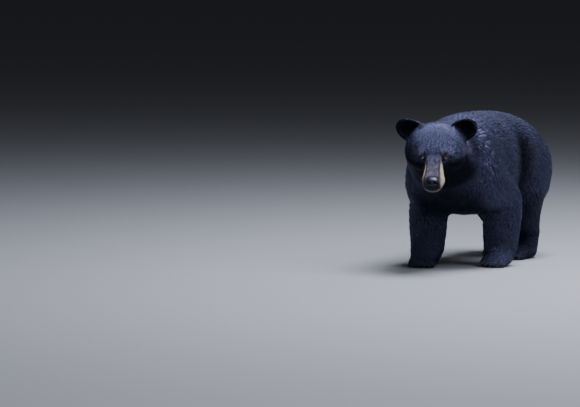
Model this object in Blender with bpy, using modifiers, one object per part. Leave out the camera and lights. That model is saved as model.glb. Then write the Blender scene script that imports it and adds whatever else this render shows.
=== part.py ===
"""American black bear, young adult, standing in mid stride with the head low.

Still life-size model, in metres. +Z is up, the bear faces -Y and its left side is
+X. The origin is on the floor, under the middle of the bear's bounding box.

The body is shaped as one blank: lofts and ellipsoids are joined, fused into one
surface and smoothed. The blank is then parted into named pieces by thin cuts.
All sizes are taken over the coat, to the tips of the hair.
"""
import math

import bmesh
import bpy
import numpy as np
from mathutils import Matrix, Vector

# ---------------------------------------------------------------- driving sizes
CUT_GAP = 0.0004            # width of the cuts that part the body
SIDES = {"left": 1.0, "right": -1.0}
RING_SIDES = 28             # points round a loft
RING_STEPS = 6              # rings between two stations of a loft

# Trunk, from the breast to the rump: y, top, underside, half width
TRUNK = (
    (-0.408, 0.570, 0.400, 0.095),
    (-0.358, 0.644, 0.300, 0.170),
    (-0.264, 0.684, 0.246, 0.198),
    (-0.128, 0.698, 0.230, 0.204),
    (0.042, 0.698, 0.230, 0.193),
    (0.187, 0.688, 0.252, 0.203),
    (0.300, 0.658, 0.292, 0.190),
    (0.392, 0.612, 0.332, 0.158),
    (0.458, 0.552, 0.378, 0.120),
    (0.496, 0.500, 0.430, 0.066),
)
TRUNK_FULLNESS = 2.25       # 2 is an ellipse, more is fuller

# Neck, from inside the shoulders to the skull: x, y, z, half width, half depth
NECK = (
    (0.000, -0.237, 0.500, 0.180, 0.176),
    (0.000, -0.339, 0.506, 0.186, 0.170),
    (0.009, -0.423, 0.536, 0.164, 0.146),
    (0.028, -0.510, 0.574, 0.122, 0.108),
)

# Head: its own frame has x to the bear's left, -y along the muzzle, z up
HEAD_CENTRE = Vector((0.035, -0.533, 0.576))
HEAD_YAW = math.radians(20.5)       # towards the bear's left
HEAD_PITCH = math.radians(38.0)     # nose down

# Tail: x, y, z, half width, half depth
TAIL = (
    (0.000, 0.442, 0.530, 0.030, 0.026),
    (0.003, 0.484, 0.494, 0.031, 0.026),
    (0.006, 0.500, 0.450, 0.026, 0.022),
    (0.008, 0.500, 0.404, 0.012, 0.010),
)

# Legs: middle of each sole on the floor, x outward, and how far the toes turn in
FORE_SOLE = {"left": (0.142, -0.106), "right": (0.142, -0.278)}
HIND_SOLE = {"left": (0.095, 0.262), "right": (0.086, 0.390)}
TOE_IN = math.radians(8.0)
SCAPULA_TOP = Vector((0.085, -0.200, 0.612))
SHOULDER_POINT = Vector((0.132, -0.294, 0.440))
ELBOW_HEIGHT = 0.305
ELBOW_OUT = 0.087           # added to half of the sole's distance from the midline
ELBOW_BEHIND_SHOULDER = 0.083
ELBOW_SWING = 0.67          # share of the sole's swing that the elbow takes
WRIST_HEIGHT = 0.090
WRIST_BACK = 0.030
HIP = Vector((0.104, 0.322, 0.488))
STIFLE_HEIGHT = 0.310
STIFLE_OUT = 0.132
STIFLE_AHEAD_OF_HIP = 0.075
STIFLE_SWING = 0.60
HOCK_HEIGHT = 0.125
HOCK_BACK = 0.068

# Half width and half depth of the legs, over the coat
ARM_GIRTHS = {
    "scapula": (0.060, 0.080),
    "blade": (0.090, 0.118),
    "upper_arm": (0.091, 0.126),
    "above_elbow": (0.091, 0.095),
    "elbow": (0.084, 0.082),
}
FOREARM_GIRTHS = {
    "top": (0.076, 0.070),
    "elbow": (0.090, 0.084),
    "upper": (0.092, 0.082),
    "lower": (0.088, 0.075),
    "wrist": (0.080, 0.068),
    "pastern": (0.070, 0.066),
    "sole": (0.060, 0.060),
}
THIGH_GIRTHS = {
    "croup": (0.046, 0.070),
    "hip": (0.090, 0.130),
    "middle": (0.092, 0.138),
    "stifle": (0.078, 0.108),
    "end": (0.062, 0.082),
}
SHANK_GIRTHS = {
    "top": (0.080, 0.100),
    "middle": (0.069, 0.084),
    "hock": (0.055, 0.064),
    "heel": (0.054, 0.058),
    "ankle": (0.054, 0.062),
    "sole": (0.048, 0.058),
}

TOES = 5
SOLE_DEPTH = 0.006          # how much of each pad the floor plane takes away
CLAW_SIDES = 6

# Pieces of the head, in the head's frame
EAR_CENTRE = Vector((0.117, 0.050, 0.038))
EAR_UP = Vector((0.84, 0.28, 0.46))
EAR_FACING = Vector((0.08, -0.80, 0.60))
EAR_RADII = (0.050, 0.020, 0.066)
SCOOP_CENTRE = Vector((0.0, 0.018, -0.004))
SCOOP_RADII = (0.042, 0.024, 0.058)
EYE_CENTRE = Vector((0.048, -0.083, -0.001))
EYE_LOOK = Vector((0.34, -0.90, 0.22))
EYE_RADIUS = 0.0125
NOSE_CENTRE = Vector((0.0, -0.209, -0.025))
NOSE_RADII = (0.030, 0.025, 0.023)
NOSTRIL_CENTRE = Vector((0.012, -0.232, -0.027))
NOSTRIL_RADII = (0.0065, 0.006, 0.0075)
MOUTH_CORNER = Vector((0.0, -0.085, -0.078))
MOUTH_TILT = math.radians(-3.0)
MUZZLE_CUT = -0.100

# Where the body is parted
REACH = 1.0                 # half the size of a box that takes in all on its side
SKULL_CUT_POINT = Vector((0.0, 0.062, 0.0))
SKULL_CUT_TILT = math.radians(16.0)
NECK_CUT_POINT = Vector((0.0, -0.340, 0.500))
NECK_CUT_TILT = math.radians(20.0)
REGION_OUTSIDE = 0.34
OVAL_SIDES = 24
UPPER_ARM_DEPTH = 0.112     # distance of the cut from the midline
UPPER_ARM_SHIFT = Vector((0.0, -0.012, -0.005))
UPPER_ARM_OVAL = (0.108, 0.185)
FOREARM_TOP = 0.262
FORE_BOX_HALF_LENGTH = 0.160
THIGH_DEPTH = 0.100
THIGH_SHIFT = Vector((0.0, 0.045, 0.015))
THIGH_OVAL = (0.126, 0.165)
SHANK_SHIFT = Vector((0.0, 0.020, 0.0))
HIND_BOX_HALF_LENGTH = 0.200
BELOW_FLOOR = -0.020
NECK_BOX_LOW = (-0.30, -0.40, -0.215)
NECK_BOX_HIGH = (0.30, 0.0, 0.50)
HOCK_CUT_HEIGHT = 0.120
LEG_BOX_HALF_WIDTH = 0.130
LEG_BOX_OUTWARD = 0.028
SHANK_TOP = 0.233

# Fineness of the blanks
BODY_VOXEL = 0.010
BODY_SMOOTHING = 10
BODY_TRIANGLES = 1950
HEAD_VOXEL = 0.005
HEAD_SMOOTHING = 7
HEAD_TRIANGLES = 1150

COAT_BLACK = (0.012, 0.013, 0.020)
MUZZLE_TAN = (0.30, 0.19, 0.11)
NOSE_BLACK = (0.008, 0.008, 0.010)
EYE_BROWN = (0.040, 0.018, 0.007)
CLAW_GREY = (0.030, 0.027, 0.026)


# ---------------------------------------------------------------- small helpers
def new_collection(name):
    """A collection linked to the scene."""
    collection = bpy.data.collections.new(name)
    bpy.context.scene.collection.children.link(collection)
    return collection


def new_object(name, mesh, collection):
    """An object for a mesh, in a collection."""
    obj = bpy.data.objects.new(name, mesh)
    collection.objects.link(obj)
    return obj


def evaluated_mesh(obj):
    """The object's mesh with its modifiers applied."""
    depsgraph = bpy.context.evaluated_depsgraph_get()
    depsgraph.update()
    return bpy.data.meshes.new_from_object(obj.evaluated_get(depsgraph))


def apply_modifiers(obj):
    """Replace the object's mesh by what its modifiers make of it."""
    mesh = evaluated_mesh(obj)
    obj.modifiers.clear()
    obj.data = mesh


def smooth_rows(rows, steps):
    """Rows of numbers with a Catmull-Rom curve drawn through them."""
    rows = np.array(rows, dtype=float)
    first = 2.0 * rows[0] - rows[1]
    last = 2.0 * rows[-1] - rows[-2]
    rows = np.vstack([first, rows, last])
    curve = []
    for i in range(1, len(rows) - 2):
        a, b, c, d = rows[i - 1:i + 3]
        for t in np.linspace(0.0, 1.0, steps, endpoint=False):
            cubic = -a + 3.0 * b - 3.0 * c + d
            square = 2.0 * a - 5.0 * b + 4.0 * c - d
            curve.append(b + 0.5 * ((c - a) * t + square * t * t + cubic * t ** 3))
    curve.append(rows[-2])
    return np.array(curve)


def ring_point(angle, fullness):
    """A point of a unit superellipse."""
    power = 2.0 / fullness
    across = math.copysign(abs(math.cos(angle)) ** power, math.cos(angle))
    deep = math.copysign(abs(math.sin(angle)) ** power, math.sin(angle))
    return across, deep


def add_loft(bm, stations, fullness=2.0, frame=None, steps=RING_STEPS, sides=RING_SIDES):
    """Closed loft through stations (x, y, z, half across, half deep).

    Each ring lies square to the path. "Across" is the frame's x direction.
    """
    frame = frame or Matrix.Identity(4)
    rows = smooth_rows(stations, steps)
    tangents = np.gradient(rows[:, :3], axis=0)
    rings = []
    for row, tangent in zip(rows, tangents):
        along = Vector(tangent).normalized()
        across = Vector((1.0, 0.0, 0.0))
        across = (across - along * across.dot(along)).normalized()
        deep = across.cross(along)
        ring = []
        for i in range(sides):
            u, v = ring_point(2.0 * math.pi * i / sides, fullness)
            point = Vector(row[:3]) + across * (u * row[3]) + deep * (v * row[4])
            ring.append(bm.verts.new(frame @ point))
        rings.append(ring)
    for ring, following in zip(rings, rings[1:]):
        for i in range(sides):
            j = (i + 1) % sides
            bm.faces.new((ring[j], ring[i], following[i], following[j]))
    caps = [bm.faces.new(rings[0]), bm.faces.new(list(reversed(rings[-1])))]
    bmesh.ops.triangulate(bm, faces=caps)


def add_ellipsoid(bm, centre, radii, frame):
    """An ellipsoid, square to a frame."""
    matrix = frame @ Matrix.Translation(centre) @ Matrix.Diagonal((*radii, 1.0))
    bmesh.ops.create_uvsphere(bm, u_segments=RING_SIDES, v_segments=16, radius=1.0,
                              matrix=matrix)


def mirrored(point, side):
    """A point given for the left side, on the side asked for."""
    return Vector((point[0] * side, point[1], point[2]))


# ---------------------------------------------------------------- the body's masses
def add_trunk(bm):
    """Barrel of the body, deep at the chest and highest over the loins."""
    stations = []
    for y, top, under, half_width in TRUNK:
        stations.append((0.0, y, 0.5 * (top + under), half_width, 0.5 * (top - under)))
    add_loft(bm, stations, TRUNK_FULLNESS)


def foreleg_joints(side_name):
    """Shoulder, elbow, wrist and sole of a foreleg."""
    side = SIDES[side_name]
    out, y = FORE_SOLE[side_name]
    sole = Vector((out * side, y, 0.0))
    shoulder = mirrored(SHOULDER_POINT, side)
    swing = y - SHOULDER_POINT.y
    elbow = Vector((side * (0.5 * out + ELBOW_OUT),
                    SHOULDER_POINT.y + ELBOW_BEHIND_SHOULDER + ELBOW_SWING * swing,
                    ELBOW_HEIGHT))
    wrist = Vector((side * out, y + WRIST_BACK, WRIST_HEIGHT))
    return shoulder, elbow, wrist, sole


def add_foreleg(bm, side_name):
    """Shoulder blade, upper arm, forearm and wrist."""
    shoulder, elbow, wrist, sole = foreleg_joints(side_name)
    scapula = mirrored(SCAPULA_TOP, SIDES[side_name])
    blade = scapula.lerp(shoulder, 0.55)
    girth = ARM_GIRTHS
    add_loft(bm, (
        (*scapula, *girth["scapula"]),
        (*blade, *girth["blade"]),
        (*shoulder.lerp(elbow, 0.30), *girth["upper_arm"]),
        (*shoulder.lerp(elbow, 0.80), *girth["above_elbow"]),
        (*elbow, *girth["elbow"]),
    ))
    above = Vector((0.0, -0.035, 0.070))
    girth = FOREARM_GIRTHS
    add_loft(bm, (
        (*(elbow + above), *girth["top"]),
        (*elbow, *girth["elbow"]),
        (*elbow.lerp(wrist, 0.30), *girth["upper"]),
        (*elbow.lerp(wrist, 0.68), *girth["lower"]),
        (*wrist, *girth["wrist"]),
        (*(sole + Vector((0.0, 0.012, 0.045))), *girth["pastern"]),
        (*(sole + Vector((0.0, 0.008, 0.012))), *girth["sole"]),
    ))


def hindleg_joints(side_name):
    """Hip, stifle, hock and sole of a hind leg."""
    side = SIDES[side_name]
    out, y = HIND_SOLE[side_name]
    sole = Vector((out * side, y, 0.0))
    hip = mirrored(HIP, side)
    swing = y - HIP.y
    stifle = Vector((side * STIFLE_OUT, HIP.y - STIFLE_AHEAD_OF_HIP + STIFLE_SWING * swing,
                     STIFLE_HEIGHT))
    hock = Vector((side * out, y + HOCK_BACK, HOCK_HEIGHT))
    return hip, stifle, hock, sole


def add_hindleg(bm, side_name):
    """Thigh, shank and heel."""
    hip, stifle, hock, sole = hindleg_joints(side_name)
    behind = Vector((0.0, 0.045, 0.0))
    girth = THIGH_GIRTHS
    add_loft(bm, (
        (*(hip + Vector((0.0, -0.010, 0.090))), *girth["croup"]),
        (*hip, *girth["hip"]),
        (*(hip.lerp(stifle, 0.50) + behind), *girth["middle"]),
        (*(stifle + behind), *girth["stifle"]),
        (*(stifle.lerp(hock, 0.45) + 0.4 * behind), *girth["end"]),
    ))
    girth = SHANK_GIRTHS
    add_loft(bm, (
        (*(stifle + Vector((0.0, 0.030, 0.030))), *girth["top"]),
        (*stifle.lerp(hock, 0.40), *girth["middle"]),
        (*hock, *girth["hock"]),
        (*(sole + Vector((0.0, 0.058, 0.070))), *girth["heel"]),
        (*(sole + Vector((0.0, 0.044, 0.035))), *girth["ankle"]),
        (*(sole + Vector((0.0, 0.036, 0.010))), *girth["sole"]),
    ))


# ---------------------------------------------------------------- paws and claws
PAWS = {
    # half width, half length and half height of the pad, reach to the middle toe,
    # toe radius, claw length
    "fore": (0.068, 0.064, 0.044, 0.080, 0.0195, 0.042),
    "hind": (0.058, 0.086, 0.042, 0.102, 0.0180, 0.033),
}


def paw_frame(kind, side_name):
    """Frame on the floor under a paw: x to the bear's left, -y towards the toes."""
    side = SIDES[side_name]
    out, y = (FORE_SOLE if kind == "fore" else HIND_SOLE)[side_name]
    turn = Matrix.Rotation(-side * TOE_IN, 4, "Z")
    return Matrix.Translation((out * side, y, 0.0)) @ turn


def toe_points(kind):
    """Middle of each toe in the paw's frame, from the bear's left to its right."""
    half_width, _, _, reach, radius, _ = PAWS[kind]
    points = []
    for i in range(TOES):
        spread = 2.0 * i / (TOES - 1) - 1.0
        x = spread * (half_width - radius)
        y = -reach * (1.0 - 0.24 * spread * spread) + radius
        points.append(Vector((x, y, radius - 0.4 * SOLE_DEPTH)))
    return points


def add_paw(bm, kind, side_name):
    """Pad and toes."""
    half_width, half_length, half_height, _, radius, _ = PAWS[kind]
    frame = paw_frame(kind, side_name)
    pad = Vector((0.0, 0.0, half_height - SOLE_DEPTH))
    add_ellipsoid(bm, pad, (half_width, half_length, half_height), frame)
    for point in toe_points(kind):
        add_ellipsoid(bm, point, (radius, 1.5 * radius, radius + 0.003), frame)


def claw_mesh(kind, side_name, toe, margin=0.0):
    """One claw: a flat curved spike that leaves the toe and bends to the floor."""
    _, _, _, _, radius, length = PAWS[kind]
    frame = paw_frame(kind, side_name)
    spread = 2.0 * toe / (TOES - 1) - 1.0
    root = toe_points(kind)[toe] + Vector((0.0, -0.55 * radius, 0.35 * radius))
    turn = Matrix.Rotation(0.16 * spread, 4, "Z")
    stations = []
    for t in (0.0, 0.35, 0.7, 1.0):
        along = length * t
        drop = 0.016 * t * t + 0.001 * t
        width = 0.0042 * (1.0 - 0.75 * t) + margin
        height = 0.0062 * (1.0 - 0.80 * t) + margin
        offset = turn @ Vector((0.0, -along, -drop))
        stations.append((*(root + offset), width, height))
    stations[0] = (*(Vector(stations[0][:3]) + turn @ Vector((0.0, margin, 0.0))),
                   *stations[0][3:])
    bm = bmesh.new()
    add_small_loft(bm, stations, frame)
    return bm_to_mesh(bm, f"claw_{kind}_{side_name}_{toe + 1}")


def add_small_loft(bm, stations, frame):
    """Loft with few sides, for claws."""
    rings = []
    for x, y, z, half_width, half_height in stations:
        ring = []
        for i in range(CLAW_SIDES):
            angle = 2.0 * math.pi * i / CLAW_SIDES
            point = Vector((x + half_width * math.cos(angle), y,
                            z + half_height * math.sin(angle)))
            ring.append(bm.verts.new(frame @ point))
        rings.append(ring)
    for ring, following in zip(rings, rings[1:]):
        for i in range(CLAW_SIDES):
            j = (i + 1) % CLAW_SIDES
            bm.faces.new((ring[i], ring[j], following[j], following[i]))
    bm.faces.new(list(reversed(rings[0])))
    bm.faces.new(rings[-1])


def bm_to_mesh(bm, name):
    """Finish a bmesh with its faces pointing out."""
    bmesh.ops.recalc_face_normals(bm, faces=bm.faces)
    mesh = bpy.data.meshes.new(name)
    bm.to_mesh(mesh)
    bm.free()
    return mesh


# ---------------------------------------------------------------- the head
def head_frame():
    """The head's frame in the world: the muzzle points along its -y."""
    yaw = Matrix.Rotation(HEAD_YAW, 4, "Z")
    pitch = Matrix.Rotation(HEAD_PITCH, 4, "X")
    return Matrix.Translation(HEAD_CENTRE) @ yaw @ pitch


def add_head(bm):
    """Skull, brow, cheeks, muzzle, lips and lower jaw."""
    frame = head_frame()
    add_ellipsoid(bm, (0.0, 0.018, -0.002), (0.124, 0.105, 0.082), frame)
    add_ellipsoid(bm, (0.0, -0.036, 0.008), (0.080, 0.054, 0.052), frame)
    add_loft(bm, (
        (0.0, -0.020, -0.040, 0.074, 0.074),
        (0.0, -0.075, -0.038, 0.046, 0.065),
        (0.0, -0.120, -0.043, 0.041, 0.055),
        (0.0, -0.165, -0.048, 0.046, 0.046),
        (0.0, -0.204, -0.047, 0.045, 0.040),
        (0.0, -0.230, -0.040, 0.035, 0.031),
    ), 2.3, frame)
    add_loft(bm, (
        (0.0, -0.040, -0.080, 0.060, 0.040),
        (0.0, -0.110, -0.087, 0.042, 0.028),
        (0.0, -0.165, -0.089, 0.037, 0.023),
        (0.0, -0.200, -0.084, 0.029, 0.019),
        (0.0, -0.212, -0.079, 0.018, 0.011),
    ), 2.2, frame)
    for side in SIDES.values():
        cheek = (side * 0.072, 0.000, -0.040)
        orbit = (side * 0.048, -0.066, 0.009)
        lip = (side * 0.028, -0.172, -0.060)
        add_ellipsoid(bm, cheek, (0.068, 0.085, 0.082), frame)
        add_ellipsoid(bm, orbit, (0.033, 0.030, 0.029), frame)
        add_ellipsoid(bm, lip, (0.024, 0.036, 0.026), frame)


def ear_frame(side):
    """Frame of an ear: y out of its hollow, z towards its tip."""
    up = mirrored(EAR_UP, side).normalized()
    facing = mirrored(EAR_FACING, side)
    facing = (facing - up * facing.dot(up)).normalized()
    across = facing.cross(up)
    axes = Matrix((across, facing, up)).transposed().to_4x4()
    return head_frame() @ Matrix.Translation(mirrored(EAR_CENTRE, side)) @ axes


def ellipsoid_mesh(name, frame, centre, radii, segments=14, rings=8):
    """A closed ellipsoid on its own."""
    bm = bmesh.new()
    matrix = frame @ Matrix.Translation(centre) @ Matrix.Diagonal((*radii, 1.0))
    bmesh.ops.create_uvsphere(bm, u_segments=segments, v_segments=rings, radius=1.0,
                              matrix=matrix)
    return bm_to_mesh(bm, name)


# ---------------------------------------------------------------- blanks and cuts
def fused(bm, name, voxel, smoothing, triangles):
    """One smooth closed surface made of overlapping masses."""
    blank = new_object(name, bm_to_mesh(bm, name), workshop)
    remesh = blank.modifiers.new("fuse", "REMESH")
    remesh.mode = "VOXEL"
    remesh.voxel_size = voxel
    smooth = blank.modifiers.new("smooth", "SMOOTH")
    smooth.factor = 0.5
    smooth.iterations = smoothing
    apply_modifiers(blank)
    faces = sum(len(polygon.vertices) - 2 for polygon in blank.data.polygons)
    coarser = blank.modifiers.new("coarser", "DECIMATE")
    coarser.ratio = triangles / faces
    apply_modifiers(blank)
    return blank


def boolean(obj, cutter_mesh, operation):
    """Cut the object by a mesh, with the exact solver."""
    cutter = new_object("cutter", cutter_mesh, cutters)
    cutter.hide_render = True
    cutter.display_type = "WIRE"
    modifier = obj.modifiers.new("cut", "BOOLEAN")
    modifier.object = cutter
    modifier.operation = operation
    modifier.solver = "EXACT"
    apply_modifiers(obj)
    bpy.data.objects.remove(cutter)


def part_off(blank, name, region):
    """Cut the region out of the blank as a piece of its own."""
    piece = new_object(name, blank.data.copy(), parts)
    boolean(piece, region(0.0), "INTERSECT")
    boolean(blank, region(CUT_GAP), "DIFFERENCE")


def box_region(frame, low, high):
    """A box between two corners of a frame, which grows by a margin."""
    def region(margin):
        grow = Vector((margin, margin, margin))
        corner = Vector(low) - grow
        size = Vector(high) + grow - corner
        bm = bmesh.new()
        matrix = frame @ Matrix.Translation(corner + 0.5 * size) @ Matrix.Diagonal((*size, 1.0))
        bmesh.ops.create_cube(bm, size=1.0, matrix=matrix)
        return bm_to_mesh(bm, "box")
    return region


def oval_region(centre, tilt, radii, inner, outer):
    """An oval prism along X, tilted in side view, which grows by a margin."""
    half_across, half_along = radii

    def region(margin):
        bm = bmesh.new()
        depth = abs(outer - inner) + 2.0 * margin
        frame = Matrix.Translation((0.5 * (inner + outer), centre[0], centre[1]))
        turn = Matrix.Rotation(tilt, 4, "X") @ Matrix.Rotation(0.5 * math.pi, 4, "Y")
        size = Matrix.Diagonal((half_along + margin, half_across + margin, 1.0, 1.0))
        bmesh.ops.create_cone(bm, cap_ends=True, segments=OVAL_SIDES, radius1=1.0,
                              radius2=1.0, depth=depth, matrix=frame @ turn @ size)
        return bm_to_mesh(bm, "oval")
    return region


def swollen(obj):
    """The object's surface, moved out by the width of a cut."""
    copy = new_object("swollen", obj.data.copy(), cutters)
    displace = copy.modifiers.new("grow", "DISPLACE")
    displace.strength = CUT_GAP
    displace.mid_level = 0.0
    mesh = evaluated_mesh(copy)
    bpy.data.objects.remove(copy)
    return mesh


def skull_cut():
    """Frame of the cut behind the skull: -y is the head's side of it."""
    place = head_frame() @ Matrix.Translation(SKULL_CUT_POINT)
    return place @ Matrix.Rotation(SKULL_CUT_TILT - HEAD_PITCH, 4, "X")


# ---------------------------------------------------------------- the pieces
def make_body():
    """Trunk, neck, tail and legs."""
    bm = bmesh.new()
    add_trunk(bm)
    add_loft(bm, NECK)
    add_head(bm)
    for side_name in SIDES:
        add_foreleg(bm, side_name)
        add_hindleg(bm, side_name)
        add_paw(bm, "fore", side_name)
        add_paw(bm, "hind", side_name)
    blank = fused(bm, "body", BODY_VOXEL, BODY_SMOOTHING, BODY_TRIANGLES)
    make_tail(blank)
    below = box_region(Matrix.Identity(4), (-REACH, -REACH, -REACH), (REACH, REACH, 0.0))
    boolean(blank, below(0.0), "DIFFERENCE")
    ahead = box_region(skull_cut(), (-REACH, -REACH, -REACH), (REACH, 0.0, REACH))
    boolean(blank, ahead(CUT_GAP), "DIFFERENCE")
    add_claws(blank)

    ahead_of_trunk = Matrix.Translation(NECK_CUT_POINT) @ Matrix.Rotation(NECK_CUT_TILT, 4, "X")
    part_off(blank, "neck", box_region(ahead_of_trunk, NECK_BOX_LOW, NECK_BOX_HIGH))
    for side_name, side in SIDES.items():
        part_foreleg(blank, side_name, side)
        part_hindleg(blank, side_name, side)
    new_object("trunk", blank.data, parts)


def make_tail(blank):
    """A short tail that hangs close to the rump."""
    bm = bmesh.new()
    add_loft(bm, TAIL, steps=2, sides=10)
    tail = new_object("tail", bm_to_mesh(bm, "tail"), parts)
    boolean(tail, swollen(blank), "DIFFERENCE")


def leg_box(x, y, low, high, half_length):
    """A box round a lower leg, between two heights, that reaches further outward."""
    outward = math.copysign(LEG_BOX_OUTWARD, x)
    place = Matrix.Translation((x + outward, y, 0.0))
    return box_region(place, (-LEG_BOX_HALF_WIDTH, -half_length, low),
                      (LEG_BOX_HALF_WIDTH, half_length, high))


def part_foreleg(blank, side_name, side):
    """Upper arm, forearm and paw of one foreleg."""
    _, elbow, wrist, sole = foreleg_joints(side_name)
    scapula = mirrored(SCAPULA_TOP, side)
    middle = 0.5 * (scapula + elbow) + UPPER_ARM_SHIFT
    lean = elbow - scapula
    tilt = math.atan2(lean.y, -lean.z)
    upper = oval_region((middle.y, middle.z), tilt, UPPER_ARM_OVAL,
                        side * UPPER_ARM_DEPTH, side * REGION_OUTSIDE)
    paw = leg_box(sole.x, sole.y, BELOW_FLOOR, WRIST_HEIGHT, FORE_BOX_HALF_LENGTH)
    middle = 0.5 * (elbow + wrist)
    fore = leg_box(sole.x, middle.y, WRIST_HEIGHT, FOREARM_TOP, FORE_BOX_HALF_LENGTH)
    part_off(blank, f"upper_arm_{side_name}", upper)
    part_off(blank, f"forepaw_{side_name}", paw)
    part_off(blank, f"forearm_{side_name}", fore)


def part_hindleg(blank, side_name, side):
    """Thigh, shank and paw of one hind leg."""
    hip, stifle, hock, sole = hindleg_joints(side_name)
    middle = 0.5 * (hip + stifle) + THIGH_SHIFT
    tilt = math.atan2(stifle.y - hip.y, hip.z - stifle.z)
    thigh = oval_region((middle.y, middle.z), tilt, THIGH_OVAL,
                        side * THIGH_DEPTH, side * REGION_OUTSIDE)
    paw = leg_box(sole.x, sole.y, BELOW_FLOOR, HOCK_CUT_HEIGHT, HIND_BOX_HALF_LENGTH)
    middle = 0.5 * (stifle + hock) + SHANK_SHIFT
    shank = leg_box(sole.x, middle.y, HOCK_CUT_HEIGHT, SHANK_TOP, HIND_BOX_HALF_LENGTH)
    part_off(blank, f"thigh_{side_name}", thigh)
    part_off(blank, f"hindpaw_{side_name}", paw)
    part_off(blank, f"shank_{side_name}", shank)


def add_claws(blank):
    """Twenty claws, each set in a socket of its toe."""
    for kind in PAWS:
        for side_name in SIDES:
            for toe in range(TOES):
                mesh = claw_mesh(kind, side_name, toe)
                new_object(mesh.name, mesh, parts)
                boolean(blank, claw_mesh(kind, side_name, toe, CUT_GAP), "DIFFERENCE")


def make_head():
    """Skull, muzzle, jaw, nose and eyes."""
    bm = bmesh.new()
    add_loft(bm, NECK)
    add_head(bm)
    blank = fused(bm, "head_blank", HEAD_VOXEL, HEAD_SMOOTHING, HEAD_TRIANGLES)
    behind = box_region(skull_cut(), (-REACH, 0.0, -REACH), (REACH, REACH, REACH))
    boolean(blank, behind(0.0), "DIFFERENCE")
    frame = head_frame()
    for side_name, side in SIDES.items():
        centre = mirrored(EYE_CENTRE, side)
        eye = ellipsoid_mesh("eye", frame, centre, [EYE_RADIUS] * 3, 12, 8)
        new_object(f"eye_{side_name}", eye, parts)
        boolean(blank, eye_socket(side), "DIFFERENCE")
    nose = new_object("nose", ellipsoid_mesh("nose", frame, NOSE_CENTRE, NOSE_RADII), parts)
    grown = [radius + CUT_GAP for radius in NOSE_RADII]
    boolean(blank, ellipsoid_mesh("nose", frame, NOSE_CENTRE, grown), "DIFFERENCE")
    for side in SIDES.values():
        nostril = ellipsoid_mesh("nostril", frame, mirrored(NOSTRIL_CENTRE, side),
                                 NOSTRIL_RADII, 8, 5)
        boolean(nose, nostril, "DIFFERENCE")
    jaw = box_region(frame @ Matrix.Translation(MOUTH_CORNER) @ Matrix.Rotation(MOUTH_TILT, 4, "X"),
                     (-0.10, -0.20, -0.10), (0.10, 0.0, 0.0))
    muzzle = box_region(frame, (-0.10, -0.30, -0.20), (0.10, MUZZLE_CUT, 0.10))
    part_off(blank, "jaw", jaw)
    part_off(blank, "muzzle", muzzle)
    new_object("head", blank.data, parts)


def eye_socket(side):
    """What an eye takes out of the head: its ball and the opening in front."""
    frame = head_frame()
    centre = mirrored(EYE_CENTRE, side)
    look = mirrored(EYE_LOOK, side).normalized()
    turn = look.to_track_quat("Z", "Y").to_matrix().to_4x4()
    bm = bmesh.new()
    radius = EYE_RADIUS + CUT_GAP
    length = 0.05
    place = frame @ Matrix.Translation(centre + look * 0.5 * length) @ turn
    bmesh.ops.create_cone(bm, cap_ends=True, segments=12, radius1=radius,
                          radius2=1.35 * radius, depth=length, matrix=place)
    cone = new_object("socket", bm_to_mesh(bm, "socket"), cutters)
    ball = ellipsoid_mesh("ball", frame, centre, [radius] * 3, 12, 8)
    boolean(cone, ball, "UNION")
    mesh = cone.data
    bpy.data.objects.remove(cone)
    return mesh


def make_ear(side_name, neighbours):
    """A cupped ear that meets the skull and the neck."""
    frame = ear_frame(SIDES[side_name])
    ear = new_object(f"ear_{side_name}", ellipsoid_mesh("ear", frame, (0.0, 0.0, 0.0), EAR_RADII),
                     parts)
    for neighbour in neighbours:
        boolean(ear, swollen(neighbour), "DIFFERENCE")
    boolean(ear, ellipsoid_mesh("scoop", frame, SCOOP_CENTRE, SCOOP_RADII), "DIFFERENCE")


def paint(obj, colour, roughness):
    """A plain finish of the object's own."""
    material = bpy.data.materials.new(obj.name)
    material.use_nodes = True
    shader = material.node_tree.nodes["Principled BSDF"]
    shader.inputs["Base Color"].default_value = (*colour, 1.0)
    shader.inputs["Roughness"].default_value = roughness
    shader.inputs["Metallic"].default_value = 0.0
    obj.data.materials.clear()
    obj.data.materials.append(material)


def finish(obj):
    """Colour by the kind of piece."""
    finishes = {
        "eye": (EYE_BROWN, 0.08),
        "nose": (NOSE_BLACK, 0.45),
        "claw": (CLAW_GREY, 0.40),
        "muzzle": (MUZZLE_TAN, 0.80),
        "jaw": (MUZZLE_TAN, 0.80),
    }
    paint(obj, *finishes.get(obj.name.split("_")[0], (COAT_BLACK, 0.70)))


def stand_on_origin():
    """Move the bear so that the origin is under the middle of its bounding box."""
    corners = [vertex.co for obj in parts.objects for vertex in obj.data.vertices]
    points = np.array([tuple(corner) for corner in corners])
    low, high = points.min(axis=0), points.max(axis=0)
    middle = 0.5 * (low + high)
    shift = Matrix.Translation((-middle[0], -middle[1], -low[2]))
    bear = bpy.data.objects.new("bear", None)
    workshop.objects.link(bear)
    for obj in parts.objects:
        obj.data.transform(shift)
        obj.parent = bear


for leftover in list(bpy.data.objects):
    bpy.data.objects.remove(leftover)
parts = new_collection("black_bear")
cutters = new_collection("cutters")
workshop = new_collection("workshop")
make_body()
make_head()
for side_name in SIDES:
    make_ear(side_name, (parts.objects["head"], parts.objects["neck"]))
for blank in list(workshop.objects):
    bpy.data.objects.remove(blank)
for piece in parts.objects:
    finish(piece)
stand_on_origin()
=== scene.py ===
"""An American black bear in mid stride: skin, coat, face, eyes, nose and claws.

Lengths are in metres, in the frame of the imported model: the bear faces -Y, its left
side is +X. The flesh nodes of the model give the outline to the tips of the coat. One
skin lies inside them, and tufts of hair fill the space between.
"""
import math

import bmesh
import bpy
import numpy as np
from mathutils import Matrix, Vector
from mathutils.bvhtree import BVHTree
from mathutils.kdtree import KDTree


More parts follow.
